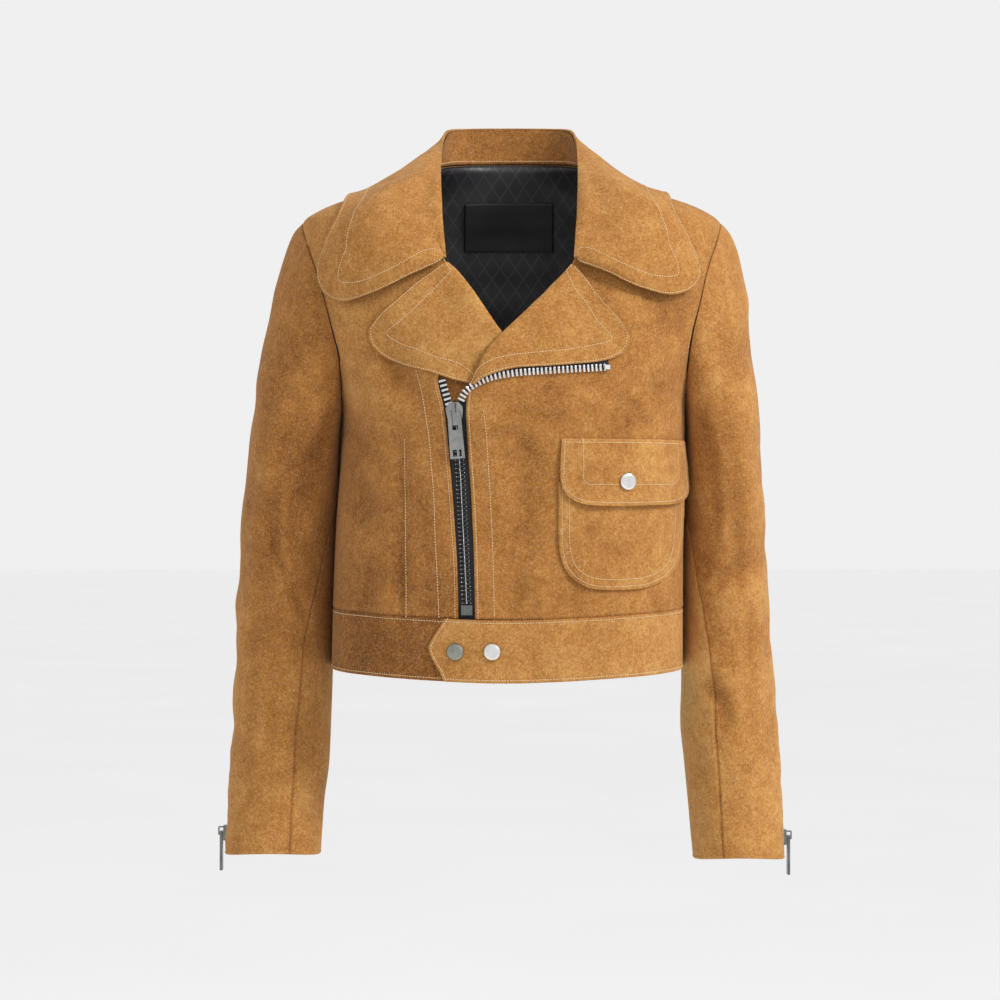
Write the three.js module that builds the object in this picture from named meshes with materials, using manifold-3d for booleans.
import * as THREE from "three";
import { mergeVertices } from "three/addons/utils/BufferGeometryUtils.js";
import Module from "manifold-3d";

// A cropped suede jacket, hollow and filled out as worn. Millimetres.
// X runs to the right as seen from the front, the front faces -Y and Z is up.
// The origin is the middle of the shoulders, where the wearer's body carries the jacket.

const WALL = 1.6; // suede with its backing
const SEAM_GAP = 0.3; // between pieces that are sewn together
const LAID_GAP = 0.3; // between pieces that lie on each other
const TAPE_WALL = 0.8;
const COLLAR_WALL = 2.4; // two layers of suede
const LAPEL_WALL = 1.8;

const BAND_TOP = -381; // waistband seam, at the middle of the front
const BAND_HEM = -436;
const SIDE_RISE = 7; // the seam and the hem climb this far towards the sides
const SIDE_RISE_FADE = 60; // height over which the rise fades out
const UNDERARM = -195;
const SHOULDER_TIP = -21;
const ARMHOLE = { height: -108, rise: 87, reach: 61.5 }; // an upright ellipse seen from the side
const NECK_POINT = 27.6;
const NECK_BACK = 42;

const SUEDE = { color: 0xae753f, roughness: 0.95, metalness: 0 };
const SUEDE_DARK = { color: 0x9f6e3a, roughness: 0.95, metalness: 0 };
const LINING = { color: 0x28282d, roughness: 0.6, metalness: 0 };
const LABEL = { color: 0x111113, roughness: 0.7, metalness: 0 };
const TAPE = { color: 0x1b1b1d, roughness: 0.85, metalness: 0 };
const STEEL = { color: 0xb4b7ba, roughness: 0.35, metalness: 1 };

// Horizontal sections of the body: half width, depth to the front and to the back,
// sideways shift, and how square the section is.
const BODY = [
  { z: -440, half: 161, front: 114, back: 94, shift: -1, square: 2.5 },
  { z: -380, half: 160.3, front: 115, back: 95, shift: -0.3, square: 2.5 },
  { z: -300, half: 159, front: 118, back: 99, shift: 1.5, square: 2.5 },
  { z: -240, half: 157.3, front: 122, back: 102, shift: 3.7, square: 2.5 },
  { z: -195, half: 157, front: 123.5, back: 104, shift: 5, square: 2.5 },
  { z: -150, half: 166, front: 120, back: 106, shift: 5, square: 2.5 },
  { z: -120, half: 178, front: 115, back: 106, shift: 4, square: 2.5 },
  { z: -95, half: 187, front: 110, back: 105, shift: 4, square: 2.5 },
  { z: -70, half: 192.5, front: 104, back: 103, shift: 3, square: 2.5 },
  { z: -45, half: 195, front: 96, back: 100, shift: 3, square: 2.5 },
  { z: -30, half: 193.5, front: 89, back: 98, shift: 3, square: 2.5 },
  { z: -21, half: 190, front: 84, back: 96, shift: 3, square: 2.5 },
  { z: -12, half: 177, front: 77, back: 93, shift: 3, square: 2.45 },
  { z: -4.6, half: 160, front: 71, back: 90.5, shift: 3, square: 2.4 },
  { z: 2, half: 137.5, front: 65, back: 88, shift: 3, square: 2.4 },
  { z: 10, half: 114, front: 57, back: 85.5, shift: 3, square: 2.3 },
  { z: 20, half: 89, front: 45, back: 81.5, shift: 3, square: 2.2 },
  { z: 28, half: 73, front: 32, back: 78, shift: 3, square: 2.2 },
  { z: 35, half: 66, front: 29, back: 75, shift: 3, square: 2.2 },
  { z: 44, half: 61, front: 26, back: 72, shift: 3, square: 2.2 },
];

// Soft troughs in the body cloth, from one place to another. A negative depth is a ridge.
const BODY_FOLDS = [
  { face: "front", x0: -96, z0: -215, x1: -94, z1: -372, width: 9, depth: 2.2 },
  { face: "front", x0: -140, z0: -190, x1: -128, z1: -300, width: 14, depth: 3 },
  { face: "front", x0: -120, z0: -120, x1: -70, z1: -205, width: 13, depth: 2.4 },
  { face: "front", x0: 140, z0: -170, x1: 95, z1: -215, width: 14, depth: 2.6 },
  { face: "front", x0: 20, z0: -215, x1: 10, z1: -360, width: 12, depth: 1.8 },
  { face: "front", x0: 110, z0: -60, x1: 150, z1: -130, width: 15, depth: 2.2 },
  { face: "back", x0: -140, z0: -185, x1: -105, z1: -270, width: 15, depth: 3 },
  { face: "back", x0: 142, z0: -180, x1: 100, z1: -262, width: 15, depth: 3 },
  { face: "back", x0: -60, z0: -320, x1: -75, z1: -375, width: 11, depth: 2 },
  { face: "back", x0: 48, z0: -312, x1: 62, z1: -375, width: 11, depth: 2 },
  { face: "back", x0: 2, z0: -240, x1: -4, z1: -372, width: 16, depth: 2.4 },
];

// Free edge of each front panel: up the zip, along the fold of the lapel and round the neck.
const FRONT_EDGE = {
  left: [
    { z: -440, x: -43 },
    { z: -340, x: -44.6 },
    { z: -279, x: -48.4 },
    { z: -232, x: -52.3 },
    { z: -201, x: -55.4 },
    { z: -171, x: -61.7 },
    { z: -165, x: -60 },
    { z: -158, x: -55 },
    { z: -144, x: -34 },
    { z: -131, x: -9 },
    { z: -112, x: -18.5 },
    { z: -94, x: -30 },
    { z: -78, x: -43 },
    { z: -66, x: -55.5 },
    { z: -42, x: -62 },
    { z: -15, x: -66.5 },
    { z: 8, x: -68.5 },
    { z: 20, x: -69 },
    { z: NECK_POINT, x: -69 },
  ],
  right: [
    { z: -440, x: -28.5 },
    { z: -340, x: -29.8 },
    { z: -279, x: -32.1 },
    { z: -223, x: -36.1 },
    { z: -199.5, x: -37 },
    { z: -185, x: -36.1 },
    { z: -178, x: -34 },
    { z: -150, x: -21.3 },
    { z: -131, x: -5.7 },
    { z: -99, x: 27.5 },
    { z: -84, x: 41.5 },
    { z: -69, x: 55.5 },
    { z: -42, x: 66 },
    { z: -15, x: 71.5 },
    { z: 8, x: 74 },
    { z: 20, x: 74.8 },
    { z: NECK_POINT, x: 75 },
  ],
};

// Middle of the closed zip.
const CHAIN = [
  { z: -380, x: -36 },
  { z: -360, x: -36.8 },
  { z: -310, x: -39.1 },
  { z: -232, x: -43.4 },
  { z: -200, x: -46.7 },
  { z: -190, x: -47.6 },
];

// The right front bulges over the left lapel where the two cross.
const OVERLAP = { lift: 5.7, low: -200, full: -176, ease: -132, high: -95, flat: 12, reach: 60 };

// Lapels, from the zip up to the collar: fold line and free edge.
const LAPEL_RIGHT = [
  { s: 0, foldX: -32.5, foldZ: -176, edgeX: -29.5, edgeZ: -176.3 },
  { s: 0.1, foldX: -28.5, foldZ: -166, edgeX: -17, edgeZ: -168.4 },
  { s: 0.22, foldX: -21.3, foldZ: -150, edgeX: 8, edgeZ: -161.5 },
  { s: 0.36, foldX: -8, foldZ: -133.5, edgeX: 45, edgeZ: -158.8 },
  { s: 0.48, foldX: 6, foldZ: -119.5, edgeX: 80, edgeZ: -155 },
  { s: 0.56, foldX: 15, foldZ: -111, edgeX: 94, edgeZ: -150.8 },
  { s: 0.64, foldX: 23, foldZ: -103, edgeX: 103.5, edgeZ: -142 },
  { s: 0.7, foldX: 30, foldZ: -96.5, edgeX: 105, edgeZ: -134 },
  { s: 0.78, foldX: 37, foldZ: -89, edgeX: 99, edgeZ: -121 },
  { s: 0.86, foldX: 44, foldZ: -82, edgeX: 84, edgeZ: -104 },
  { s: 0.94, foldX: 50, foldZ: -75.5, edgeX: 69, edgeZ: -84 },
  { s: 1, foldX: 54.5, foldZ: -70, edgeX: 58, edgeZ: -72 },
];
const LAPEL_LEFT = [
  { s: 0, foldX: -25, foldZ: -168, edgeX: -31, edgeZ: -175.5 },
  { s: 0.12, foldX: -17, foldZ: -160, edgeX: -46, edgeZ: -171.8 },
  { s: 0.24, foldX: -11, foldZ: -148, edgeX: -68, edgeZ: -164.4 },
  { s: 0.36, foldX: -5, foldZ: -138.5, edgeX: -94, edgeZ: -157.2 },
  { s: 0.46, foldX: -4.5, foldZ: -132.5, edgeX: -108, edgeZ: -151 },
  { s: 0.54, foldX: -10, foldZ: -124, edgeX: -117.5, edgeZ: -143 },
  { s: 0.6, foldX: -14, foldZ: -118, edgeX: -122, edgeZ: -134 },
  { s: 0.67, foldX: -20, foldZ: -109, edgeX: -122.5, edgeZ: -127 },
  { s: 0.75, foldX: -27, foldZ: -98.5, edgeX: -116, edgeZ: -117.5 },
  { s: 0.83, foldX: -35.5, foldZ: -86.5, edgeX: -103, edgeZ: -105.5 },
  { s: 0.92, foldX: -46, foldZ: -74, edgeX: -79, edgeZ: -85.5 },
  { s: 1, foldX: -53, foldZ: -68, edgeX: -56.5, edgeZ: -70.5 },
];
const LAPEL_ROLL = { height: 2.2, at: 6 }; // swell beside the fold
const LAPEL_SPRING = 1; // how much higher the free edge lies

// Teeth and tape that run on along the lower edge of the right lapel, from the slider out.
const LAPEL_ZIP = [
  { s: 0, x: -42.6, z: -190 },
  { s: 0.08, x: -39.5, z: -183.2 },
  { s: 0.15, x: -33.4, z: -177.1 },
  { s: 0.23, x: -24.7, z: -172 },
  { s: 0.34, x: -11.7, z: -167.6 },
  { s: 0.5, x: 9.9, z: -164.1 },
  { s: 0.72, x: 44.7, z: -161.5 },
  { s: 1, x: 91, z: -158.3 },
];

// Collar, from the front end (row 0) to the middle of the back (row 13).
// fold is the top of the roll. mid and edge lie on the body, moved out, and a free mid has its own height.
// xr and zr are the edge's place on the right side, which differs a little.
const COLLAR = [
  {
    fold: [-54.5, -100, -64.5],
    mid: { on: "front", x: -57, z: -65, out: 4 },
    edge: { on: "front", x: -59.5, z: -66.5, xr: 62, zr: -67.5 },
  },
  {
    fold: [-56.4, -93.5, -52],
    mid: { on: "front", x: -71, z: -65, out: 9 },
    edge: { on: "front", x: -87, z: -80, xr: 86, zr: -77, out: 7.5 },
  },
  {
    fold: [-57.8, -88, -39],
    mid: { on: "front", x: -87, z: -66, out: 11 },
    edge: { on: "front", x: -116, z: -94, xr: 115, zr: -90, out: 7.5 },
  },
  {
    fold: [-59.2, -80, -26],
    mid: { on: "front", x: -101, z: -62, out: 11 },
    edge: { on: "front", x: -143, z: -100, xr: 143, zr: -94.5, out: 6 },
  },
  {
    fold: [-60, -69.5, -12],
    mid: { on: "front", x: -110, z: -52, out: 11 },
    edge: { on: "front", x: -160, z: -91, xr: 162, zr: -85, out: 5 },
  },
  {
    fold: [-60.8, -56.5, 1],
    mid: { on: "front", x: -114, z: -37, out: 11 },
    edge: { on: "front", x: -166.5, z: -75, xr: 167, zr: -70 },
  },
  {
    fold: [-61.2, -41, 14],
    mid: { on: "front", x: -112, z: -15, out: 11 },
    edge: { on: "front", x: -160.5, z: -48, xr: 157, zr: -43, out: 3.6 },
  },
  {
    fold: [-61.4, -23, 26],
    mid: { on: "free", x: -99, y: -44, z: 13 },
    edge: { on: "front", x: -150, z: -22, xr: 147, zr: -18, out: 2.8 },
  },
  {
    fold: [-61, -7, 37.5],
    mid: { on: "free", x: -92.5, y: -13, z: 25.5 },
    edge: { on: "top", x: -144, y: -20, xr: 143, out: 2.4 },
  },
  {
    fold: [-60.4, 11, 48.5],
    mid: { on: "free", x: -87.5, y: 17, z: 33.5 },
    edge: { on: "top", x: -139, y: 20, xr: 138, out: 2.4 },
  },
  {
    fold: [-59, 30, 60],
    mid: { on: "free", x: -83, y: 46, z: 37.5 },
    edge: { on: "back", x: -124, z: -4, xr: 123, zr: -4, out: 3 },
  },
  {
    fold: [-54.5, 52, 71],
    mid: { on: "free", x: -71, y: 71, z: 37 },
    edge: { on: "back", x: -97, z: -10, xr: 97, zr: -10 },
  },
  {
    fold: [-37, 69, 75.4],
    mid: { on: "free", x: -45, y: 86, z: 31 },
    edge: { on: "back", x: -52, z: -10, xr: 53, zr: -10 },
  },
  {
    fold: [1, 75.5, 77],
    mid: { on: "free", x: 1, y: 90, z: 30 },
    edge: { on: "back", x: 1, z: -9, xr: 1, zr: -9 },
  },
];
const COLLAR_CLEAR = 2.2; // least distance between the collar and the body
const COLLAR_EDGE_OUT = 4.4; // how far the free edge stands off, where its row names no other distance
const COLLAR_MIRROR = { scale: 0.985, shift: 3.4 }; // the right half as a mirrored left half

// Where the stand is sewn to the neck, row by row as above: front rows by height, back rows by angle.
const STAND_SEAM = [
  { row: 1, z: -54 },
  { row: 2, z: -42 },
  { row: 3, z: -28 },
  { row: 4, z: -15 },
  { row: 5, z: -3 },
  { row: 6, z: 8 },
  { row: 7, z: 17 },
  { row: 8, z: 24 },
  { row: 9, around: 92 },
  { row: 10, around: 112 },
  { row: 11, around: 137 },
  { row: 12, around: 160 },
  { row: 13, around: 180 },
];

// Sleeves by height, as distances from the middle plane: outermost and innermost line of each sleeve,
// the middle's place to the back, and half the depth from front to back.
const SLEEVE = [
  { z: -605, outLeft: 259.8, inLeft: 172.3, outRight: 253.7, inRight: 169.8, middle: -5, deep: 38.5 },
  { z: -591, outLeft: 259.3, inLeft: 171.5, outRight: 253.2, inRight: 168.6, middle: -3, deep: 39 },
  { z: -554, outLeft: 257.3, inLeft: 169.5, outRight: 251.6, inRight: 165.9, middle: 5, deep: 41.5 },
  { z: -517, outLeft: 257, inLeft: 165.2, outRight: 251.8, inRight: 162.8, middle: 12, deep: 44.5 },
  { z: -480, outLeft: 254.6, inLeft: 164, outRight: 249.3, inRight: 159.8, middle: 18, deep: 47.5 },
  { z: -443, outLeft: 253.3, inLeft: 162.9, outRight: 247, inRight: 161, middle: 21, deep: 50 },
  { z: -400, outLeft: 252.2, inLeft: 161.7, outRight: 243.8, inRight: 161.1, middle: 21, deep: 52 },
  { z: -350, outLeft: 249.6, inLeft: 160, outRight: 239.8, inRight: 161.3, middle: 18, deep: 54.5 },
  { z: -300, outLeft: 246, inLeft: 158.5, outRight: 237.3, inRight: 161.6, middle: 12, deep: 57 },
  { z: -250, outLeft: 241, inLeft: 155.1, outRight: 233.8, inRight: 162.2, middle: 5, deep: 59.5 },
  { z: -215, outLeft: 236.5, inLeft: 154, outRight: 231, inRight: 163, middle: 1, deep: 60.5 },
  { z: -195, outLeft: 233.5, inLeft: 152, outRight: 229.5, inRight: 162, middle: 0, deep: 61.5 },
  { z: -165, outLeft: 229.5, inLeft: 152, outRight: 226.5, inRight: 160, middle: 0, deep: 61.5 },
  { z: -128, outLeft: 223.5, inLeft: 154, outRight: 222.3, inRight: 160, middle: 0, deep: 61.5 },
  { z: -91, outLeft: 216, inLeft: 156, outRight: 219.5, inRight: 161, middle: 0, deep: 61.5 },
  { z: -54, outLeft: 205.5, inLeft: 158, outRight: 212.5, inRight: 163, middle: 0, deep: 61.5 },
  { z: -33, outLeft: 197.5, inLeft: 159, outRight: 204.5, inRight: 165, middle: 0, deep: 61.5 },
  { z: -26.7, outLeft: 192.5, inLeft: 160, outRight: 199.5, inRight: 166, middle: 0, deep: 61.5 },
  { z: -21, outLeft: 187, inLeft: 160, outRight: 193, inRight: 166, middle: 0, deep: 61.5 },
];
const CUFF = { left: -600, right: -604 };
const CUFF_RISE = 4.5; // the cuff is cut higher in front and behind than at its sides
const SLEEVE_SETTLE = 0.3; // share of the length over which the armhole's form fades out
const SLEEVE_GAP = 0.7; // between the sleeve head and the armhole

// The two long seams of a sleeve. 0 degrees is the outermost line, 90 the front, 180 the inside.
const SLEEVE_SEAM = [
  { t: 0, front: 178, back: -68 },
  { t: 0.187, front: 175, back: -52 },
  { t: 0.29, front: 153, back: -45 },
  { t: 0.41, front: 137, back: -35 },
  { t: 0.5, front: 126, back: -27 },
  { t: 0.6, front: 118, back: -18 },
  { t: 0.78, front: 112, back: -6 },
  { t: 1, front: 114, back: -4 },
];
const CUFF_ZIP = { start: 0.765, open: 0.8, half: 4.5, tuck: 3 }; // slit of the cuff zip

// Soft troughs in the sleeves, by side, share of the length and angle.
const SLEEVE_FOLDS = [
  { side: "left", t0: 0.1, a0: 128, t1: 0.42, a1: 96, width: 9, depth: 4.2 },
  { side: "left", t0: 0.16, a0: 92, t1: 0.6, a1: 66, width: 10, depth: 2.6 },
  { side: "left", t0: 0.42, a0: 60, t1: 0.52, a1: 118, width: 8, depth: 2.4 },
  { side: "left", t0: 0.56, a0: 100, t1: 0.66, a1: 40, width: 9, depth: 2.2 },
  { side: "left", t0: 0.4, a0: -150, t1: 0.47, a1: -60, width: 9, depth: 2.8 },
  { side: "left", t0: 0.5, a0: -40, t1: 0.56, a1: -130, width: 9, depth: 2.6 },
  { side: "left", t0: 0.15, a0: -120, t1: 0.36, a1: -70, width: 12, depth: 2.6 },
  { side: "right", t0: 0.1, a0: 124, t1: 0.36, a1: 100, width: 9, depth: 3.4 },
  { side: "right", t0: 0.18, a0: 84, t1: 0.55, a1: 74, width: 11, depth: 2.2 },
  { side: "right", t0: 0.46, a0: 112, t1: 0.52, a1: 40, width: 9, depth: 2.6 },
  { side: "right", t0: 0.62, a0: 128, t1: 0.76, a1: 92, width: 8, depth: 3 },
  { side: "right", t0: 0.4, a0: -145, t1: 0.46, a1: -62, width: 9, depth: 2.8 },
  { side: "right", t0: 0.51, a0: -44, t1: 0.57, a1: -128, width: 9, depth: 2.4 },
  { side: "right", t0: 0.14, a0: -118, t1: 0.38, a1: -74, width: 12, depth: 2.6 },
];

// Patch pocket and its flap: left and right edge by height.
const POCKET = [
  { z: -355, left: 85, right: 101 },
  { z: -353.6, left: 73, right: 118 },
  { z: -350, left: 63.5, right: 130 },
  { z: -344, left: 55, right: 140 },
  { z: -334, left: 48, right: 149 },
  { z: -322, left: 44.6, right: 153.4 },
  { z: -308, left: 43.3, right: 155.4 },
  { z: -285, left: 43.2, right: 156.5 },
  { z: -258, left: 43.2, right: 157 },
];
const POCKET_LAY = 1.05; // the patch stands a little off the panel
const FLAP = [
  { z: -281, left: 84, right: 104, lay: 5.8 },
  { z: -279.5, left: 66, right: 141, lay: 5.6 },
  { z: -276, left: 56, right: 152, lay: 4.6 },
  { z: -270, left: 48.5, right: 157.5, lay: 4.2 },
  { z: -262, left: 45.4, right: 159, lay: 3.9 },
  { z: -254, left: 44.4, right: 159, lay: 3.2 },
  { z: -243, left: 44.8, right: 158.5, lay: 2.4 },
  { z: -232, left: 45.4, right: 157.8, lay: 1.4 },
  { z: -222.5, left: 46.1, right: 156.8, lay: 0.7 },
];

// Pointed end of the right waistband, which laps over the left one.
const TAB = [
  { z: -440, x: -54.5 },
  { z: -436, x: -56.2 },
  { z: -412, x: -69 },
  { z: -408, x: -70.6 },
  { z: -404, x: -69.1 },
  { z: -380.7, x: -55.7 },
  { z: -378, x: -54.5 },
];
const TAB_LIFT = { height: 2.1, full: -2, flat: 46 };
const BAND_LEFT_END = -10;

const SNAP = { radius: 7.6, height: 2.6, rim: 0.9 };
const SNAPS = [
  { name: "snap_tab_1", x: -46.2, z: -408.4, over: "tab" },
  { name: "snap_tab_2", x: -14.2, z: -408.3, over: "tab" },
  { name: "snap_pocket", x: 102, z: -259.5, over: "flap" },
];

// Zip hardware. Heights are above the cloth that carries the slider.
const FRONT_ZIP = {
  body: { top: 7.5, bottom: 5.6, long: 20, thick: 2.6, base: -1.3 },
  arch: { wide: 2.6, thick: 1.2, inner: 6.4, head: 0.4 },
  pull: { head: 4.6, waist: 6, foot: 6.5, long: 43.5, thick: 1.6, slotHalf: 2.5, slotLong: 17, axle: 1.5 },
  axleUp: 1.5, // the pull's axle sits this far above the slider's plate
  windows: [{ across: -2, half: 1.8 }, { across: 2.6, half: 1.2 }],
  windowFrom: 35.6,
  windowTo: 41.6,
};
const CUFF_HARDWARE = {
  body: { top: 5, bottom: 4, long: 14, thick: 2.6, base: 0.5 },
  arch: { wide: 2.4, thick: 1.2, inner: 5.6, head: 0.4 },
  pull: { head: 3.6, waist: 3.8, foot: 4.4, long: 36, thick: 2.4, slotHalf: 2, slotLong: 11, axle: 1.6 },
  axleUp: 2.1,
  windows: [],
  windowFrom: 0,
  windowTo: 0,
};
const FRONT_SLIDER_AT = { x: -47, z: -197.5, lean: 4.6 };
const CUFF_SLIDER_T = 0.968; // share of the sleeve's length

const wasm = await Module();
wasm.setup();

const V = (x, y, z) => new THREE.Vector3(x, y, z);
const mix = (a, b, t) => a + (b - a) * t;
const clamp01 = (t) => Math.min(1, Math.max(0, t));
const ease = (a, b, x) => {
  const t = clamp01((x - a) / (b - a));
  return t * t * (3 - 2 * t);
};
const rad = THREE.MathUtils.degToRad;
const deg = THREE.MathUtils.radToDeg;
const steps = (n, from = 0, to = 1) =>
  Array.from({ length: n + 1 }, (_, i) => mix(from, to, i / n));
const sideSign = (side) => (side === "left" ? -1 : 1);

// A smooth curve through the rows of a table, which never overshoots them.
function through(table, by, key) {
  const xs = table.map((row) => row[by]);
  const ys = table.map((row) => row[key]);
  const last = xs.length - 1;
  const rise = (k) => (ys[k + 1] - ys[k]) / (xs[k + 1] - xs[k]);
  const slope = (k) => {
    if (k === 0) return rise(0);
    if (k === last) return rise(last - 1);
    const a = rise(k - 1);
    const b = rise(k);
    return a * b <= 0 ? 0 : (2 * a * b) / (a + b);
  };
  const slopes = xs.map((_, k) => slope(k));
  return (x) => {
    if (x <= xs[0]) return ys[0];
    if (x >= xs[last]) return ys[last];
    let k = 0;
    while (x > xs[k + 1]) k += 1;
    const h = xs[k + 1] - xs[k];
    const t = (x - xs[k]) / h;
    const t2 = t * t;
    const t3 = t2 * t;
    return (
      (2 * t3 - 3 * t2 + 1) * ys[k] +
      (t3 - 2 * t2 + t) * h * slopes[k] +
      (3 * t2 - 2 * t3) * ys[k + 1] +
      (t3 - t2) * h * slopes[k + 1]
    );
  };
}

// Distance from a place to a fold line, and how far along it the place lies.
function alongFold(u, v, u0, v0, u1, v1) {
  const du = u1 - u0;
  const dv = v1 - v0;
  const t = ((u - u0) * du + (v - v0) * dv) / (du * du + dv * dv);
  const c = clamp01(t);
  return { t, away: Math.hypot(u - u0 - c * du, v - v0 - c * dv) };
}
const troughAt = (t, away, width) =>
  Math.exp(-((away / width) ** 2)) * ease(-0.15, 0.25, t) * ease(1.15, 0.75, t);

const bodyHalf = through(BODY, "z", "half");
const bodyFront = through(BODY, "z", "front");
const bodyBack = through(BODY, "z", "back");
const bodyShift = through(BODY, "z", "shift");
const bodySquare = through(BODY, "z", "square");

function bodyFold(p) {
  const face = p.y < 0 ? "front" : "back";
  let sum = 0;
  for (const f of BODY_FOLDS) {
    if (f.face !== face) continue;
    const { t, away } = alongFold(p.x, p.z, f.x0, f.z0, f.x1, f.z1);
    sum += f.depth * troughAt(t, away, f.width);
  }
  return sum * ease(0, 30, Math.abs(p.y));
}

// A point of the body: the angle runs from 0 at the front over 90 at the side to 180 at the back.
function bodyPoint(side, angle, z) {
  const s = Math.sin(rad(angle));
  const c = Math.cos(rad(angle));
  const depth = c > 0 ? bodyFront(z) : bodyBack(z);
  const n = bodySquare(z);
  const r = (Math.abs(s / bodyHalf(z)) ** n + Math.abs(c / depth) ** n) ** (-1 / n);
  return V(bodyShift(z) + sideSign(side) * r * s, -r * c, z);
}
function normalOf(surface, a, b, da, db, middle) {
  const u = surface(a + da, b).sub(surface(a - da, b));
  const v = surface(a, b + db).sub(surface(a, b - db));
  const n = u.cross(v).normalize();
  return n.dot(surface(a, b).sub(middle)) < 0 ? n.negate() : n;
}
function onBody(side, angle, z, out = 0, facing = null) {
  const surface = (a, h) => bodyPoint(side, a, h);
  const n = normalOf(surface, angle, z, 0.4, 0.8, V(0, 0, z - 60));
  const p = bodyPoint(side, angle, z);
  return p.addScaledVector(n, -bodyFold(p)).addScaledVector(facing || n, out);
}
function frontAngle(side, x, z) {
  const u = sideSign(side) * (x - bodyShift(z));
  const n = bodySquare(z);
  const y = bodyFront(z) * Math.max(0, 1 - Math.abs(u / bodyHalf(z)) ** n) ** (1 / n);
  return deg(Math.atan2(u, y));
}
function backAngle(side, x, z) {
  const u = sideSign(side) * (x - bodyShift(z));
  const n = bodySquare(z);
  const y = bodyBack(z) * Math.max(0, 1 - Math.abs(u / bodyHalf(z)) ** n) ** (1 / n);
  return 180 - deg(Math.atan2(u, y));
}
const onFront = (x, z, out = 0) => onBody("right", frontAngle("right", x, z), z, out);
const onBack = (x, z, out = 0) => onBody("right", backAngle("right", x, z), z, out);

// The point of the shoulders right under a place seen from above.
function onTop(x, y, out) {
  let low = -60;
  let high = 40;
  const inside = (z) => {
    const n = bodySquare(z);
    const depth = y < 0 ? bodyFront(z) : bodyBack(z);
    return Math.abs((x - bodyShift(z)) / bodyHalf(z)) ** n + Math.abs(y / depth) ** n < 1;
  };
  for (let k = 0; k < 30; k += 1) {
    const z = (low + high) / 2;
    if (inside(z)) low = z;
    else high = z;
  }
  const side = x < bodyShift(low) ? "left" : "right";
  const across = Math.abs(x - bodyShift(low));
  return onBody(side, deg(Math.atan2(across, -y)), low, out);
}
function place(spot, out) {
  if (spot.on === "free") return V(spot.x, spot.y, spot.z);
  if (spot.on === "top") return onTop(spot.x, spot.y, out);
  return spot.on === "back" ? onBack(spot.x, spot.z, out) : onFront(spot.x, spot.z, out);
}

// A closed wall between two faces, each a grid of points.
function wall(rows, columns, outer, inner) {
  const points = [];
  const grid = (face) =>
    rows.map((r) => columns.map((c) => points.push(face(r, c)) - 1));
  const a = grid(outer);
  const b = grid(inner);
  const index = [];
  const quad = (p, q, r, s) => index.push(p, q, r, p, r, s);
  const m = rows.length - 1;
  const n = columns.length - 1;
  for (let i = 0; i < m; i += 1) {
    for (let j = 0; j < n; j += 1) {
      quad(a[i][j], a[i][j + 1], a[i + 1][j + 1], a[i + 1][j]);
      quad(b[i][j], b[i + 1][j], b[i + 1][j + 1], b[i][j + 1]);
    }
  }
  for (let j = 0; j < n; j += 1) {
    quad(a[0][j + 1], a[0][j], b[0][j], b[0][j + 1]);
    quad(a[m][j], a[m][j + 1], b[m][j + 1], b[m][j]);
  }
  for (let i = 0; i < m; i += 1) {
    quad(a[i][0], a[i + 1][0], b[i + 1][0], b[i][0]);
    quad(a[i + 1][n], a[i][n], b[i][n], b[i + 1][n]);
  }
  const g = new THREE.BufferGeometry().setFromPoints(points);
  g.setIndex(index);
  return facingOut(g);
}
// Turns a closed surface the right way round where its grid ran the other way.
function facingOut(geometry) {
  const g = geometry.index ? geometry.toNonIndexed() : geometry;
  const p = g.attributes.position;
  const at = (k) => V(0, 0, 0).fromBufferAttribute(p, k);
  let volume = 0;
  for (let i = 0; i < p.count; i += 3) volume += at(i).dot(at(i + 1).cross(at(i + 2)));
  if (volume < 0) {
    for (let i = 0; i < p.count; i += 3) {
      const q = at(i + 1);
      const r = at(i + 2);
      p.setXYZ(i + 1, r.x, r.y, r.z);
      p.setXYZ(i + 2, q.x, q.y, q.z);
    }
  }
  g.computeVertexNormals();
  return g;
}

// Booleans of closed solids, for the small hardware.
function solidOf(geometry) {
  const bare = geometry.clone();
  bare.deleteAttribute("normal");
  bare.deleteAttribute("uv");
  const merged = mergeVertices(bare, 1e-4);
  const vertProperties = merged.attributes.position.array;
  const triVerts = new Uint32Array(merged.index.array);
  return new wasm.Manifold(new wasm.Mesh({ numProp: 3, vertProperties, triVerts }));
}
function geometryOf(solid) {
  const made = solid.getMesh();
  const g = new THREE.BufferGeometry();
  g.setAttribute("position", new THREE.BufferAttribute(new Float32Array(made.vertProperties), 3));
  g.setIndex(new THREE.BufferAttribute(new Uint32Array(made.triVerts), 1));
  return g.toNonIndexed();
}
const join = (a, b) => geometryOf(solidOf(a).add(solidOf(b)));
const cut = (a, holes) =>
  geometryOf(holes.reduce((left, hole) => left.subtract(solidOf(hole)), solidOf(a)));

const root = new THREE.Group();
root.name = "suede_jacket";
function add(name, geometry, look) {
  const mesh = new THREE.Mesh(geometry, new THREE.MeshStandardMaterial(look));
  mesh.name = name;
  root.add(mesh);
}

// Body
const sideRise = (angle) => SIDE_RISE * Math.sin(rad(angle)) ** 2;
const riseShare = (z) => ease(BAND_TOP + SIDE_RISE_FADE, BAND_TOP, z);
const rowHeight = (z, angle) => z + sideRise(angle) * riseShare(z);
const gapAngle = (p) => deg(SEAM_GAP / 2 / Math.hypot(p.x, p.y));

const ARM_STEPS = [0, 11, 24, 42, 60, 76, 91, 105.3, 121, 139, 159, 180];
const armholeHeight = (phi) => ARMHOLE.height + ARMHOLE.rise * Math.cos(rad(phi));
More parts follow.
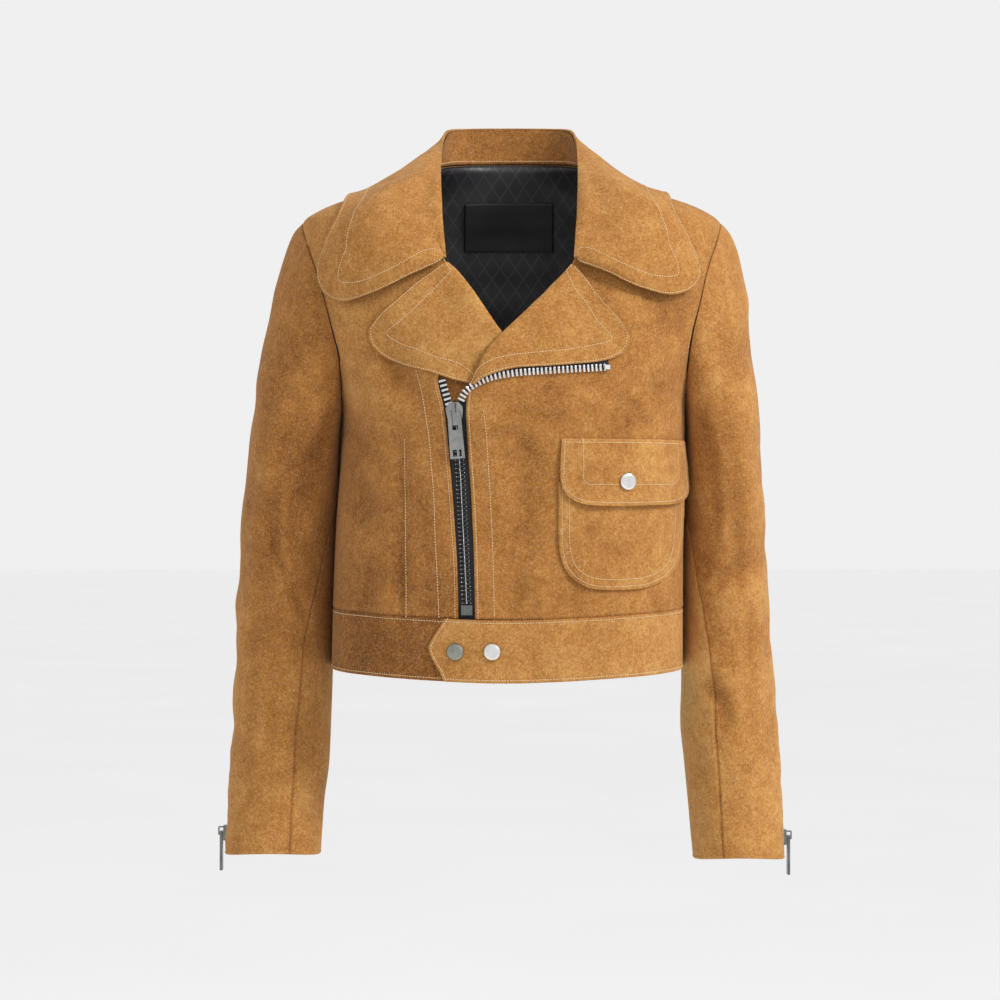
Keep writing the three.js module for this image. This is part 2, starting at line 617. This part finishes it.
// The free direction in which both walls end along the armhole's upper half.
const mitre = (side, phi) =>
  V(
    sideSign(side) * 0.55 * Math.max(0, Math.cos(rad(phi))),
    -Math.sin(rad(phi)),
    Math.cos(rad(phi)),
  ).normalize();
const mitreShare = (phi) => clamp01((Math.cos(rad(phi)) + 0.5) / 0.8);

function armholeAngle(side, z, front) {
  const c = Math.min(1, Math.max(-1, (z - ARMHOLE.height) / ARMHOLE.rise));
  const reach = ARMHOLE.reach * Math.sqrt(1 - c * c);
  const n = bodySquare(z);
  const depth = front ? bodyFront(z) : bodyBack(z);
  const across = bodyHalf(z) * Math.max(0, 1 - (reach / depth) ** n) ** (1 / n);
  const angle = deg(Math.atan2(across, reach));
  return front ? angle : 180 - angle;
}
const inArmhole = (z) => z > UNDERARM + 0.01 && z < SHOULDER_TIP - 0.01;

const PANEL_ROWS = [
  ...steps(7, BAND_TOP, UNDERARM).slice(0, -1),
  ...[...ARM_STEPS].reverse().map(armholeHeight),
  -11,
  0,
  13,
  NECK_POINT,
];
const overlapLift = (x, z) => {
  const away = x - rightEdge(z);
  const up = ease(OVERLAP.low, OVERLAP.full, z) * ease(OVERLAP.high, OVERLAP.ease, z);
  return OVERLAP.lift * up * ease(OVERLAP.flat + OVERLAP.reach, OVERLAP.flat, away);
};
const leftEdge = through(FRONT_EDGE.left, "z", "x");
const rightEdge = through(FRONT_EDGE.right, "z", "x");

// A wall on the body between two angles, from the seam at the waist to the shoulder.
function panel(rows, columns, angles, lift, endFacing) {
  const face = (out) => (z, u) => {
    const { side, angle } = angles(z, u);
    const h = rowHeight(z, angle);
    const facing = endFacing ? endFacing(side, angle, z, u) : null;
    const p = onBody(side, angle, h, out, facing);
    return lift ? p.add(lift(side, angle, h)) : p;
  };
  return wall(rows, columns, face(0), face(-WALL));
}
// At the armhole the wall ends in the direction that it shares with the sleeve.
function armholeFacing(side, angle, z, front) {
  const c = Math.min(1, Math.max(-1, (z - ARMHOLE.height) / ARMHOLE.rise));
  const phi = front ? deg(Math.acos(c)) : 360 - deg(Math.acos(c));
  const surface = (a, h) => bodyPoint(side, a, h);
  const n = normalOf(surface, angle, z, 0.4, 0.8, V(0, 0, z - 60));
  return n.lerp(mitre(side, phi), mitreShare(phi)).normalize();
}
function frontPanel(side) {
  const edge = side === "left" ? leftEdge : rightEdge;
  const outerAngle = (z) =>
    inArmhole(z) ? armholeAngle(side, z, true) : 90 - gapAngle(bodyPoint(side, 90, z));
  // The columns stand closer where the body turns from the side to the front.
  const angles = (z, u) => ({
    side,
    angle: mix(outerAngle(z), frontAngle(side, edge(z), z), mix(u, u * u, 0.42)),
  });
  const lift = (s, angle, z) => {
    const p = bodyPoint(s, angle, z);
    return V(0, -overlapLift(p.x, z), 0);
  };
  const atArm = (z, u) => u === 0 && z > UNDERARM + 0.01 && z < SHOULDER_TIP + 0.01;
  const facing = (s, angle, z, u) => (atArm(z, u) ? armholeFacing(s, angle, z, true) : null);
  const columns = steps(side === "left" ? 13 : 17);
  return panel(PANEL_ROWS, columns, angles, side === "right" ? lift : null, facing);
}
function backFace(out) {
  const half = (z) =>
    inArmhole(z) ? armholeAngle("right", z, false) : 90 + gapAngle(bodyPoint("right", 90, z));
  return (z, u) => {
    const side = u < 0 ? "left" : "right";
    const start = side === "left" && inArmhole(z) ? armholeAngle("left", z, false) : half(z);
    const angle = mix(180, start, Math.abs(u));
    const neck = ease(SHOULDER_TIP, NECK_POINT, z) * (NECK_BACK - NECK_POINT);
    const bow = 1 - u * u;
    const h = rowHeight(z, angle) + neck * bow;
    const atArm = Math.abs(u) === 1 && z > UNDERARM + 0.01 && z < SHOULDER_TIP + 0.01;
    return onBody(side, angle, h, out, atArm ? armholeFacing(side, angle, z, false) : null);
  };
}
const BACK_COLUMNS = steps(18, -1, 1);
add("front_left", frontPanel("left"), SUEDE_DARK);
add("front_right", frontPanel("right"), SUEDE);
add("back_panel", wall(PANEL_ROWS, BACK_COLUMNS, backFace(0), backFace(-WALL)), SUEDE_DARK);

// Lining of the back, seen through the neck, and the bare label on it
const LINING_OUT = -(WALL + LAID_GAP);
add(
  "lining_back",
  wall(
    PANEL_ROWS.slice(1, -1),
    BACK_COLUMNS.slice(1, -1),
    backFace(LINING_OUT),
    backFace(LINING_OUT - TAPE_WALL),
  ),
  LINING,
);
const LABEL_SIZE = { left: -42, right: 44, low: -38, high: 8 };
const LABEL_OUT = LINING_OUT - TAPE_WALL - 0.9;
add(
  "neck_label",
  wall(
    steps(4, LABEL_SIZE.low, LABEL_SIZE.high),
    steps(8, LABEL_SIZE.left, LABEL_SIZE.right),
    (z, x) => onBack(x, z, LABEL_OUT),
    (z, x) => onBack(x, z, LABEL_OUT - TAPE_WALL),
  ),
  LABEL,
);

// Waistband
const bandHeight = (v, angle) =>
  mix(BAND_HEM, BAND_TOP - SEAM_GAP, v) + sideRise(angle);
function band(rows, columns, spot, lift) {
  const face = (out) => (v, u) => {
    const { side, angle } = spot(v, u);
    const p = bodyPoint(side, angle, bandHeight(v, angle));
    return onBody(side, angle, p.z, out + (lift ? lift(p.x) : 0));
  };
  return wall(rows, columns, face(0), face(-WALL));
}
const tabEdge = through(TAB, "z", "x");
const tabLift = (x) => TAB_LIFT.height * ease(TAB_LIFT.flat, TAB_LIFT.full, x);
const bandSide = (side, sign) => 90 + sign * gapAngle(bodyPoint(side, 90, BAND_TOP));
add(
  "band_left",
  band(steps(3), steps(12), (v, u) => ({
    side: "left",
    angle: mix(bandSide("left", -1), frontAngle("left", BAND_LEFT_END, BAND_TOP), u),
  })),
  SUEDE_DARK,
);
add(
  "band_right",
  band(
    [0, 0.26, 0.52, 0.76, 1],
    steps(18),
    (v, u) => {
      const z = mix(BAND_HEM, BAND_TOP - SEAM_GAP, v);
      const end = frontAngle("right", tabEdge(z), z);
      return { side: "right", angle: mix(bandSide("right", -1), end, u) };
    },
    tabLift,
  ),
  SUEDE,
);
add(
  "band_back",
  band(steps(3), steps(20, -1, 1), (v, u) => {
    const side = u < 0 ? "left" : "right";
    return { side, angle: mix(180, bandSide(side, 1), Math.abs(u)) };
  }),
  SUEDE_DARK,
);

// Zip tapes and the guard behind the zip
const TAPE_OUT = -(WALL + LAID_GAP + 0.2);
const GUARD_OUT = TAPE_OUT - TAPE_WALL - LAID_GAP;
const TAPE_TUCK = 2.4;
const ZIP_FOOT = BAND_TOP + 1;
const chainLine = through(CHAIN, "z", "x");
const LEFT_TEETH = [
  { z: -200, x: -47.2 },
  { z: -193, x: -50.2 },
  { z: -182, x: -53.4 },
  { z: -168, x: -57.4 },
  { z: -162, x: -59 },
];
const leftTeeth = through(LEFT_TEETH, "z", "x");
const TAPE_ROWS = [...steps(10, ZIP_FOOT, -202), -193, -184, -176];
function tape(rows, edge, teeth) {
  const face = (out) => (z, u) => onFront(mix(edge(z), teeth(z), u), z, out);
  return wall(rows, steps(2), face(TAPE_OUT), face(TAPE_OUT - TAPE_WALL));
}
const leftTapeTeeth = (z) => (z < -200 ? chainLine(z) - 0.2 : leftTeeth(z));
add("tape_left", tape([...TAPE_ROWS, -172], (z) => leftEdge(z) - TAPE_TUCK, leftTapeTeeth), TAPE);
add(
  "tape_right",
  tape([...TAPE_ROWS.slice(0, -2)], (z) => rightEdge(z) + TAPE_TUCK, (z) => chainLine(z) + 0.2),
  TAPE,
);
const GUARD = { left: 7, right: 12, top: -156 };
const guardFace = (out) => (z, u) =>
  onFront(mix(leftEdge(z) - GUARD.left, rightEdge(z) + GUARD.right, u), z, out);
const GUARD_ROWS = [...steps(9, ZIP_FOOT, -200), -185, -170, GUARD.top];
add(
  "fly_guard",
  wall(GUARD_ROWS, steps(4), guardFace(GUARD_OUT), guardFace(GUARD_OUT - WALL)),
  SUEDE_DARK,
);

// Lapels
const LAY_ROWS = [0, 0.05, 0.12, 0.22, 0.4, 0.62, 0.82, 1];
function lapel(table, lift, rollShare, count) {
  const line = (key) => through(table, "s", key);
  const foldX = line("foldX");
  const foldZ = line("foldZ");
  const edgeX = line("edgeX");
  const edgeZ = line("edgeZ");
  const face = (out) => (v, s) => {
    const x = mix(foldX(s), edgeX(s), v);
    const z = mix(foldZ(s), edgeZ(s), v);
    const away = v * Math.hypot(edgeX(s) - foldX(s), edgeZ(s) - foldZ(s));
    const swell = LAPEL_ROLL.height * (away / LAPEL_ROLL.at) * Math.exp(1 - away / LAPEL_ROLL.at);
    const lay = LAID_GAP + 0.35 + swell * rollShare(s) + LAPEL_SPRING * v;
    return onFront(x, z, lay + out).add(V(0, -lift(x, z), 0));
  };
  return wall(LAY_ROWS, steps(count), face(LAPEL_WALL), face(0));
}
add("lapel_left", lapel(LAPEL_LEFT, () => 0, (s) => ease(0.42, 0.6, s), 22), SUEDE);
add("lapel_right", lapel(LAPEL_RIGHT, overlapLift, () => 1, 24), SUEDE);

// The zip tape along the lower edge of the right lapel
const LAPEL_TAPE = { under: 6.5, beyond: 1.2, out: 0.3 };
const lapelZipX = through(LAPEL_ZIP, "s", "x");
const lapelZipZ = through(LAPEL_ZIP, "s", "z");
function lapelZipPoint(s, across, out) {
  const e = 0.01;
  const dx = lapelZipX(s + e) - lapelZipX(s - e);
  const dz = lapelZipZ(s + e) - lapelZipZ(s - e);
  const length = Math.hypot(dx, dz);
  const x = lapelZipX(s) - (dz / length) * across;
  const z = lapelZipZ(s) + (dx / length) * across;
  return onFront(x, z, out).add(V(0, -overlapLift(x, z), 0));
}
const lapelTapeInner = (s) => -0.2 + LAPEL_TAPE.under * ease(0.12, 0.45, s);
const lapelTapeFace = (out) => (s, u) =>
  lapelZipPoint(s, mix(-LAPEL_TAPE.beyond, lapelTapeInner(s), u), out);
add(
  "lapel_tape",
  wall(
    steps(20, 0.04, 0.98),
    steps(2),
    lapelTapeFace(LAPEL_TAPE.out + TAPE_WALL),
    lapelTapeFace(LAPEL_TAPE.out),
  ),
  TAPE,
);

// Collar and its stand
const COLLAR_COLUMNS = 42;
const mirrorRight = (p) =>
  V(COLLAR_MIRROR.shift - COLLAR_MIRROR.scale * p.x, p.y, p.z);
function collarControl(row, side) {
  const right = side === "right";
  const fold = V(...row.fold);
  const mid = place(row.mid, row.mid.out);
  const spot = { ...row.edge };
  if (right) {
    spot.x = row.edge.xr;
    spot.z = row.edge.zr;
  }
  const edge = place(spot, spot.out ?? COLLAR_EDGE_OUT);
  return right ? [mirrorRight(fold), mirrorRight(mid), edge] : [fold, mid, edge];
}
function rowCurve(points) {
  return new THREE.CatmullRomCurve3(points, false, "centripetal");
}
const collarRows = [
  ...COLLAR.map((row) => collarControl(row, "left")),
  ...COLLAR.slice(0, -1).reverse().map((row) => collarControl(row, "right")),
];
const collarLines = [0, 1, 2].map((k) => rowCurve(collarRows.map((row) => row[k])));
// Moves a place off the body where it would come closer than it may, outside the neck opening.
function clearOfBody(p, least) {
  if (p.z > NECK_BACK) return p;
  const side = p.x < bodyShift(p.z) ? "left" : "right";
  const across = Math.abs(p.x - bodyShift(p.z));
  const angle = deg(Math.atan2(across, -p.y));
  const seam = mix(NECK_POINT, NECK_BACK, 1 - ((180 - angle) / 90) ** 2);
  const edge = side === "left" ? leftEdge : rightEdge;
  const outside =
    p.y < 0
      ? ease(-4, 0, sideSign(side) * (p.x - edge(p.z))) * ease(NECK_POINT + 4, NECK_POINT, p.z)
      : ease(seam + 4, seam, p.z);
  const base = bodyPoint(side, angle, p.z);
  const surface = (a, h) => bodyPoint(side, a, h);
  const n = normalOf(surface, angle, p.z, 0.4, 0.8, V(0, 0, p.z - 60));
  const ray = V(p.x - bodyShift(p.z), p.y, 0).normalize();
  const gap = p.clone().sub(base).dot(ray) * n.dot(ray);
  return gap < least ? p.addScaledVector(n, (least - gap) * outside) : p;
}
function collarPoint(s, v) {
  const [fold, mid, edge] = collarLines.map((line) => line.getPoint(s));
  const control = mid.multiplyScalar(2).addScaledVector(fold, -0.5).addScaledVector(edge, -0.5);
  const a = fold.lerp(control, v);
  const b = control.clone().lerp(edge, v);
  return clearOfBody(a.lerp(b, v), COLLAR_CLEAR);
}
function collarFace(s, v, out) {
  const t = Math.min(0.999, Math.max(0.001, s));
  const w = Math.min(0.99, Math.max(0.01, v));
  const n = normalOf(collarPoint, t, w, 0.001, 0.01, V(0, 0, -90));
  return collarPoint(s, v).addScaledVector(n, out);
}
add(
  "collar",
  wall(
    [0, 0.08, 0.2, 0.36, 0.55, 0.76, 1],
    steps(COLLAR_COLUMNS),
    (v, s) => collarFace(s, v, COLLAR_WALL),
    (v, s) => collarFace(s, v, 0),
  ),
  SUEDE,
);

const STAND_WALL = 1.8;
const STAND_COLUMNS = 32;
const STAND_TOP_GAP = 1.6; // keeps the stand just below the collar's fold
const STAND_FOOT = 0.8; // and just above the neck seam
const STAND_INSET = 1.6; // in front it stands this far inside the panel's edge
function neckSeam(seam, side) {
  if (seam.around !== undefined) {
    const z = mix(NECK_POINT, NECK_BACK, 1 - ((180 - seam.around) / 90) ** 2);
    return onBody(side, seam.around, z, 0);
  }
  const edge = side === "left" ? leftEdge : rightEdge;
  return onFront(edge(seam.z) - sideSign(side) * STAND_INSET, seam.z, 0);
}
function standControl(seam, side) {
  const foot = neckSeam(seam, side);
  const fold = V(...COLLAR[seam.row].fold);
  const top = side === "right" ? mirrorRight(fold) : fold;
  const up = top.clone().sub(foot);
  const reach = up.length();
  up.normalize();
  const low = foot.clone().addScaledVector(up, STAND_FOOT);
  return [low, foot.addScaledVector(up, Math.max(reach - STAND_TOP_GAP, STAND_FOOT + 1.5))];
}
const standRows = [
  ...STAND_SEAM.map((seam) => standControl(seam, "left")),
  ...STAND_SEAM.slice(0, -1).reverse().map((seam) => standControl(seam, "right")),
];
const standLines = [0, 1].map((k) => rowCurve(standRows.map((row) => row[k])));
function standPoint(s, v) {
  return standLines[0].getPoint(s).lerp(standLines[1].getPoint(s), v);
}
function standFace(s, v, out) {
  const t = Math.min(0.999, Math.max(0.001, s));
  const n = normalOf(standPoint, t, Math.min(0.99, Math.max(0.01, v)), 0.001, 0.01, V(0, 0, 20));
  return standPoint(s, v).addScaledVector(n, out);
}
add(
  "collar_stand",
  wall(
    steps(2),
    steps(STAND_COLUMNS),
    (v, s) => standFace(s, v, 0),
    (v, s) => standFace(s, v, -STAND_WALL),
  ),
  SUEDE_DARK,
);

// Sleeves
const sleeveLine = {
  left: { outer: through(SLEEVE, "z", "outLeft"), inner: through(SLEEVE, "z", "inLeft") },
  right: { outer: through(SLEEVE, "z", "outRight"), inner: through(SLEEVE, "z", "inRight") },
};
const sleeveMiddle = through(SLEEVE, "z", "middle");
const sleeveDeep = through(SLEEVE, "z", "deep");
const frontSeam = through(SLEEVE_SEAM, "t", "front");
const backSeam = through(SLEEVE_SEAM, "t", "back");

function sleeveSection(side, z, phi) {
  const { outer, inner } = sleeveLine[side];
  const across = (outer(z) + inner(z)) / 2 + ((outer(z) - inner(z)) / 2) * Math.cos(rad(phi));
  return V(
    sideSign(side) * across,
    sleeveMiddle(z) - sleeveDeep(z) * Math.sin(rad(phi)),
    z,
  );
}
function armholePoint(side, phi) {
  const z = armholeHeight(phi);
  const turn = ((phi % 360) + 360) % 360;
  const front = turn <= 180;
  return bodyPoint(side, armholeAngle(side, z, front), z).add(V(sideSign(side) * SLEEVE_GAP, 0, 0));
}
function sleevePoint(side, t, phi) {
  const start = armholeHeight(phi);
  const head = armholePoint(side, phi).sub(sleeveSection(side, start, phi));
  const end = CUFF[side] + CUFF_RISE * Math.sin(rad(phi)) ** 2;
  const p = sleeveSection(side, mix(start, end, t), phi);
  return p.addScaledVector(head, 1 - ease(0, SLEEVE_SETTLE, t));
}
function sleeveFold(side, t, phi) {
  const turn = phi > 180 ? phi - 360 : phi;
  const round = 0.8; // millimetres of cloth for each degree
  const long = 500;
  let sum = 0;
  for (const f of SLEEVE_FOLDS) {
    if (f.side !== side) continue;
    const hit = alongFold(t * long, turn * round, f.t0 * long, f.a0 * round, f.t1 * long, f.a1 * round);
    sum += f.depth * troughAt(hit.t, hit.away, f.width);
  }
  return sum;
}
function sleeveFace(side, t, phi, out) {
  const surface = (a, b) => sleevePoint(side, Math.max(0, a), b);
  const probe = Math.max(t, 0.004);
  const middle = sleevePoint(side, probe, 0).add(sleevePoint(side, probe, 180)).multiplyScalar(0.5);
  middle.y = sleeveMiddle(mix(ARMHOLE.height, CUFF[side], t));
  middle.z = sleevePoint(side, probe, phi).z;
  const n = normalOf(surface, probe, phi, 0.004, 1.5, middle);
  const p = sleevePoint(side, t, phi).addScaledVector(n, -sleeveFold(side, t, phi));
  const share = t < 0.001 ? mitreShare(phi) : 0;
  const facing = n.lerp(mitre(side, phi), share).normalize();
  return p.addScaledVector(facing, out);
}
const SLEEVE_ROWS = [0, 0.03, 0.07, 0.12, 0.17, 0.225, ...steps(13, 0.28, 1)];
const seamTurn = SEAM_GAP / 2;
function sleeveSlit(t) {
  return seamTurn + CUFF_ZIP.half * ease(CUFF_ZIP.start, CUFF_ZIP.open, t);
}
const turnOf = (mm, t) => deg(mm / mix(61, 41, t));
function sleevePiece(side, name, from, to, count) {
  const face = (out) => (t, u) => sleeveFace(side, t, mix(from(t), to(t), u), out);
  const look = side === "left" ? SUEDE_DARK : SUEDE;
  add(name + side, wall(SLEEVE_ROWS, steps(count), face(0), face(-WALL)), look);
}
const CUFF_TAPE_OUT = TAPE_OUT - 0.7;
for (const side of ["left", "right"]) {
  sleevePiece(
    side,
    "top_sleeve_",
    (t) => backSeam(t) + turnOf(sleeveSlit(t), t),
    (t) => frontSeam(t) - turnOf(seamTurn, t),
    13,
  );
  sleevePiece(
    side,
    "under_sleeve_",
    (t) => frontSeam(t) + turnOf(seamTurn, t),
    (t) => 360 + backSeam(t) - turnOf(sleeveSlit(t), t),
    10,
  );
  const half = (t) => CUFF_ZIP.tuck + CUFF_ZIP.half * ease(CUFF_ZIP.start, CUFF_ZIP.open, t);
  const face = (out) => (t, u) => sleeveFace(side, t, backSeam(t) + turnOf(u * half(t), t), out);
  const rows = steps(9, CUFF_ZIP.start + 0.005, 0.998);
  const tapeWall = wall(rows, steps(3, -1, 1), face(CUFF_TAPE_OUT), face(CUFF_TAPE_OUT - TAPE_WALL));
  add("cuff_tape_" + side, tapeWall, TAPE);
}

// Pocket
const pocketLeft = through(POCKET, "z", "left");
const pocketRight = through(POCKET, "z", "right");
function patch(table, columns, left, right, lay) {
  const rows = table.map((row) => row.z);
  const edgeAngle = (edge, z) => frontAngle("right", edge(z), z);
  const face = (out) => (z, u) =>
    onBody("right", mix(edgeAngle(left, z), edgeAngle(right, z), u), z, lay(z) + out);
  return wall(rows, steps(columns), face(WALL), face(0));
}
add("pocket", patch(POCKET, 10, pocketLeft, pocketRight, () => POCKET_LAY), SUEDE);
const flapLay = through(FLAP, "z", "lay");
add(
  "pocket_flap",
  patch(FLAP, 12, through(FLAP, "z", "left"), through(FLAP, "z", "right"), flapLay),
  SUEDE,
);

// Small hardware is made lying flat, X across, Y up along the zip and Z off the cloth,
// then set in place.
function setInPlace(geometry, at, up, off) {
  const z = off.clone().normalize();
  const x = up.clone().cross(z).normalize();
  const y = z.clone().cross(x);
  const m = new THREE.Matrix4().makeBasis(x, y, z).setPosition(at);
  return geometry.applyMatrix4(m);
}
function slab(shape, from, to) {
  const g = new THREE.ExtrudeGeometry(shape, { depth: to - from, bevelEnabled: false });
  return g.translate(0, 0, from);
}
function polygon(points) {
  return new THREE.Shape(points.map(([x, y]) => new THREE.Vector2(x, y)));
}
const frontNormal = (x, z) => onFront(x, z, 1).sub(onFront(x, z, 0)).normalize();

const SNAP_PROFILE = [
  [0, 0],
  [SNAP.radius, 0],
  [SNAP.radius, SNAP.rim],
  [SNAP.radius - 0.7, SNAP.height - 0.7],
  [SNAP.radius - 2, SNAP.height - 0.15],
  [0, SNAP.height],
];
const snapOutline = SNAP_PROFILE.map(([r, h]) => new THREE.Vector2(r, h));
const snapGeometry = () => new THREE.LatheGeometry(snapOutline, 22).rotateX(Math.PI / 2);
for (const snap of SNAPS) {
  const lay = snap.over === "tab" ? tabLift(snap.x) : flapLay(snap.z) + WALL;
  const at = onFront(snap.x, snap.z, lay + LAID_GAP + 0.15);
  add(snap.name, setInPlace(snapGeometry(), at, V(0, 0, 1), frontNormal(snap.x, snap.z)), STEEL);
}

// End stops of the front zip
const ZIP_BOX = { x: -36.4, z: -372.2, halfWide: 4.9, halfLong: 4.3, low: -1.8, high: 0.6 };
const TOP_STOP = { s: 0.965, halfWide: 2.6, halfLong: 2, low: 1.4, high: 3.4 };
const block = (halfWide, halfLong, low, high) =>
  new THREE.BoxGeometry(2 * halfWide, 2 * halfLong, high - low).translate(0, 0, (low + high) / 2);
add(
  "zip_box",
  setInPlace(
    block(ZIP_BOX.halfWide, ZIP_BOX.halfLong, ZIP_BOX.low, ZIP_BOX.high),
    onFront(ZIP_BOX.x, ZIP_BOX.z, 0),
    V(0, 0, 1),
    frontNormal(ZIP_BOX.x, ZIP_BOX.z),
  ),
  STEEL,
);
const stopAt = lapelZipPoint(TOP_STOP.s, -1.6, 0);
add(
  "top_stop",
  setInPlace(
    block(TOP_STOP.halfWide, TOP_STOP.halfLong, TOP_STOP.low, TOP_STOP.high),
    stopAt,
    V(0, 0, 1),
    frontNormal(stopAt.x, stopAt.z),
  ),
  STEEL,
);

// Sliders and pulls. Both are made round the pull's axle, which runs along X through the origin.
function sliderShape(size) {
  const { body, arch, axleUp } = size;
  const head = arch.head + arch.thick + arch.inner / 2;
  const top = head + 1.6;
  const foot = top - body.long;
  const plateTop = -axleUp;
  const outline = polygon([
    [-body.top * 0.55, top],
    [body.top * 0.55, top],
    [body.top, top - body.long * 0.22],
    [body.top, top - body.long * 0.38],
    [body.bottom, foot + 1.5],
    [body.bottom - 1.5, foot],
    [1.5 - body.bottom, foot],
    [-body.bottom, foot + 1.5],
    [-body.top, top - body.long * 0.38],
    [-body.top, top - body.long * 0.22],
  ]);
  return { outline, plateTop };
}
// The slider's arch stands over the pull's axle: seen from the side, an upside-down U.
function archOutline(size) {
  const { arch, axleUp, body, pull } = size;
  const clear = Math.hypot(pull.axle / 2, pull.thick / 2) + 0.35;
  const low = -clear;
  const high = low + arch.inner;
  const base = -axleUp - body.thick / 2;
  const roof = Math.max(clear, pull.thick / 2 + 0.5);
  return { low, high, base, roof };
}
function sliderSolid(size) {
  const { outline, plateTop } = sliderShape(size);
  const { arch, body } = size;
  const { low, high, base, roof } = archOutline(size);
  const plate = slab(outline, plateTop - body.thick, plateTop);
  const side = new THREE.Shape();
  const t = arch.thick;
  side.moveTo(low - t, base);
  side.lineTo(low - t, roof + t * 0.4);
  side.lineTo(low - t * 0.4, roof + t);
  side.lineTo(high + t * 0.4, roof + t);
  side.lineTo(high + t, roof + t * 0.4);
  side.lineTo(high + t, base);
  side.lineTo(high, base);
  side.lineTo(high, roof);
  side.lineTo(low, roof);
  side.lineTo(low, base);
  const bow = slab(side, -arch.wide / 2, arch.wide / 2);
  // The outline's first axis runs along the zip and its second one off the cloth.
  bow.applyMatrix4(new THREE.Matrix4().makeBasis(V(0, 1, 0), V(0, 0, 1), V(1, 0, 0)));
  return join(plate, bow);
}
function pullSolid(size) {
  const { pull, windows, windowFrom, windowTo } = size;
  const top = pull.axle / 2;
  const shape = new THREE.Shape();
  const neck = top - pull.slotLong * 0.55;
  shape.moveTo(-pull.head * 0.55, top);
  shape.lineTo(pull.head * 0.55, top);
  shape.lineTo(pull.head, top - pull.head * 0.45);
  shape.lineTo(pull.waist, neck);
  shape.lineTo(pull.foot, top - pull.long);
  shape.lineTo(-pull.foot, top - pull.long);
  shape.lineTo(-pull.waist, neck);
  shape.lineTo(-pull.head, top - pull.head * 0.45);
  const hole = (x0, x1, y0, y1) =>
    new THREE.BoxGeometry(x1 - x0, y1 - y0, 2 * pull.thick).translate((x0 + x1) / 2, (y0 + y1) / 2, 0);
  const slot = hole(-pull.slotHalf, pull.slotHalf, -pull.axle / 2 - pull.slotLong, -pull.axle / 2);
  const panes = windows.map((w) =>
    hole(w.across - w.half, w.across + w.half, top - windowTo, top - windowFrom),
  );
  return cut(slab(shape, -pull.thick / 2, pull.thick / 2), [slot, ...panes]);
}

// The axle's place, the direction up along the zip and the direction off the cloth, for each slider
const frontSliderOff = frontNormal(FRONT_SLIDER_AT.x, FRONT_SLIDER_AT.z);
const axleHeight = (size) => size.body.base + size.body.thick + size.axleUp;
const sliderPlaces = [
  {
    slider: "front_slider",
    pull: "front_pull",
    size: FRONT_ZIP,
    at: onFront(FRONT_SLIDER_AT.x, FRONT_SLIDER_AT.z, axleHeight(FRONT_ZIP)),
    up: V(-Math.sin(rad(FRONT_SLIDER_AT.lean)), 0, Math.cos(rad(FRONT_SLIDER_AT.lean))),
    off: V(frontSliderOff.x, frontSliderOff.y, 0),
  },
  ...["left", "right"].map((side) => ({
    slider: "cuff_slider_" + side,
    pull: "cuff_pull_" + side,
    size: CUFF_HARDWARE,
    at: sleeveFace(side, CUFF_SLIDER_T, backSeam(CUFF_SLIDER_T), axleHeight(CUFF_HARDWARE)),
    up: V(0, 0, 1),
    off: V(sideSign(side), 0, 0),
  })),
];
for (const { slider, pull, size, at, up, off } of sliderPlaces) {
  const flat = off.clone().addScaledVector(up, -off.dot(up));
  add(slider, setInPlace(sliderSolid(size), at, up, flat), STEEL);
  add(pull, setInPlace(pullSolid(size), at, up, flat), STEEL);
}

export default root;
